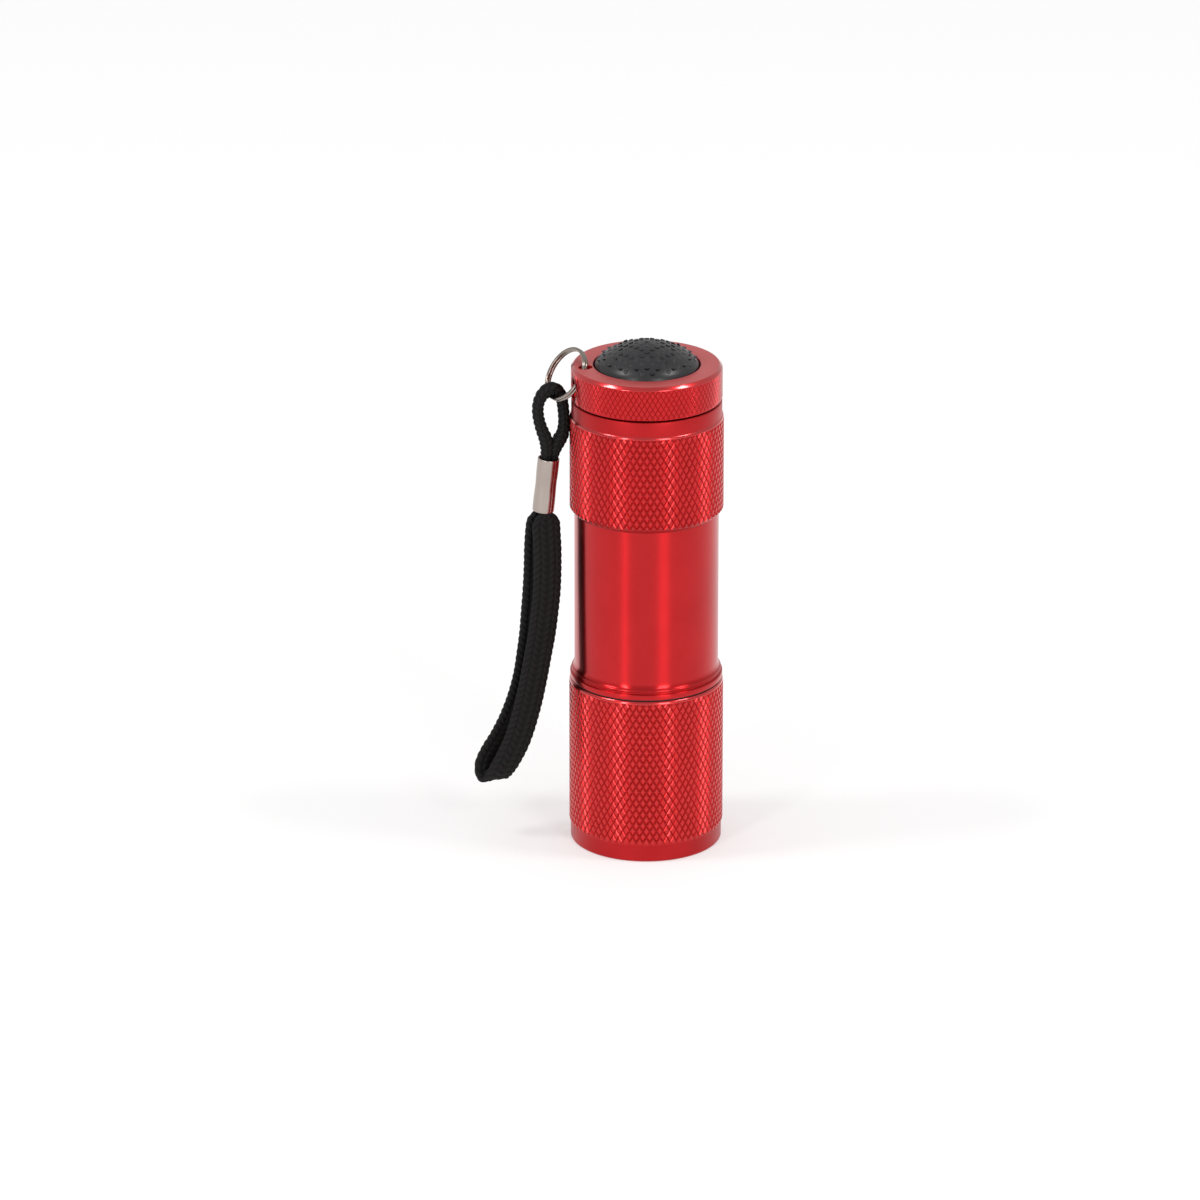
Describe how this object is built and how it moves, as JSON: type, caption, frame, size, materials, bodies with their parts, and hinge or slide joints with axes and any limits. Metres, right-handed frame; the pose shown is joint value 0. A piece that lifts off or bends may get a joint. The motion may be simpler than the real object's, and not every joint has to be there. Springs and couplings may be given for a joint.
{
  "type": "keychain flashlight",
  "caption": "Pocket torch of red anodised aluminium with knurled grips, a ring of LEDs, a tail push button, a screw-off tail cap and a wrist lanyard on a split ring.",
  "frame": {"origin": "centre of the front lip, on the surface that the torch stands on", "axes": "+Z along the torch from the lamp end to the tail button; -Y is the front; the lanyard hangs on the -X side"},
  "size_m": [0.0435, 0.027, 0.092],
  "materials": {
    "red_anodised": "saturated red anodised aluminium, satin, knurled on the grip bands",
    "black_rubber": "matt black seal rubber",
    "button_rubber": "matt black rubber with moulded grip points",
    "clear_lens": "clear acrylic",
    "bright_reflector": "bright metallised plastic",
    "board_green": "solder-masked board",
    "gold_contact": "plated brass",
    "spring_steel": "bright spring wire",
    "black_plastic": "moulded black plastic",
    "white_plastic": "moulded natural plastic",
    "led_epoxy": "clear epoxy over a pale phosphor",
    "cell_jacket": "plain printed cell jacket with no marks",
    "nickel_wire": "nickel-plated wire",
    "nickel_ferrule": "nickel-plated crimped tube",
    "black_braid": "black flat braided polyester"
  },
  "bodies": {
    "torch": {"head": "red_anodised", "lens_gasket": "black_rubber", "lens": "clear_lens", "reflector": "bright_reflector", "led_board": "board_green", "head_spring": "gold_contact", "led_1": "led_epoxy", "led_2": "led_epoxy", "led_3": "led_epoxy", "led_4": "led_epoxy", "led_5": "led_epoxy", "led_6": "led_epoxy", "led_7": "led_epoxy", "led_8": "led_epoxy", "led_9": "led_epoxy", "body_tube": "red_anodised", "seam_seal": "black_rubber", "battery_carrier": "black_plastic", "front_terminal": "gold_contact", "rear_terminal": "gold_contact", "front_plates": "gold_contact", "rear_plates": "gold_contact", "cell_1": "cell_jacket", "cell_2": "cell_jacket", "cell_3": "cell_jacket", "cell_spring_1": "spring_steel", "cell_spring_2": "spring_steel", "cell_spring_3": "spring_steel"},
    "cap_nut": {"tail_o_ring": "black_rubber"},
    "tail_cap": {"tail_cap": "red_anodised", "tail_spring": "gold_contact", "switch_retainer": "gold_contact", "switch_housing": "white_plastic", "switch_base": "gold_contact", "switch_spring": "spring_steel"},
    "button": {"switch_boot": "button_rubber", "switch_plunger": "white_plastic", "switch_cam": "white_plastic"},
    "ring": {"split_ring": "nickel_wire"},
    "lanyard": {"hanging_loop": "black_braid", "ferrule": "nickel_ferrule", "wrist_strap": "black_braid"}
  },
  "joints": [
    {"name": "cap_rise", "type": "slide", "parent": "torch", "child": "cap_nut", "axis": [0, 0, 1], "range_m": [0, 0.004]},
    {"name": "cap_turn", "type": "hinge", "parent": "cap_nut", "child": "tail_cap", "pos_m": [0, 0, 0.0818], "axis": [0, 0, 1], "range_deg": [0, 1440]},
    {"name": "switch_press", "type": "slide", "parent": "tail_cap", "child": "button", "axis": [0, 0, -1], "range_m": [0, 0.0015], "stiffness_N_per_m": 800, "springref_m": -0.001, "deforming": ["switch_spring"]},
    {"name": "ring_swing", "type": "hinge", "parent": "tail_cap", "child": "ring", "pos_m": [-0.01183, -0.00275, 0.08565], "axis": [0.4687, 0.2997, 0.831], "range_deg": [0, 150]},
    {"name": "lanyard_swing", "type": "hinge", "parent": "ring", "child": "lanyard", "pos_m": [-0.01625, -0.00034, 0.08162], "axis": [-0.4847, 0.8747, -0.0001], "range_deg": [0, 75]}
  ],
  "couplings": [
    {"joint": "cap_turn", "follows": "cap_rise", "rad_per_m": 6283.1}
  ]
}
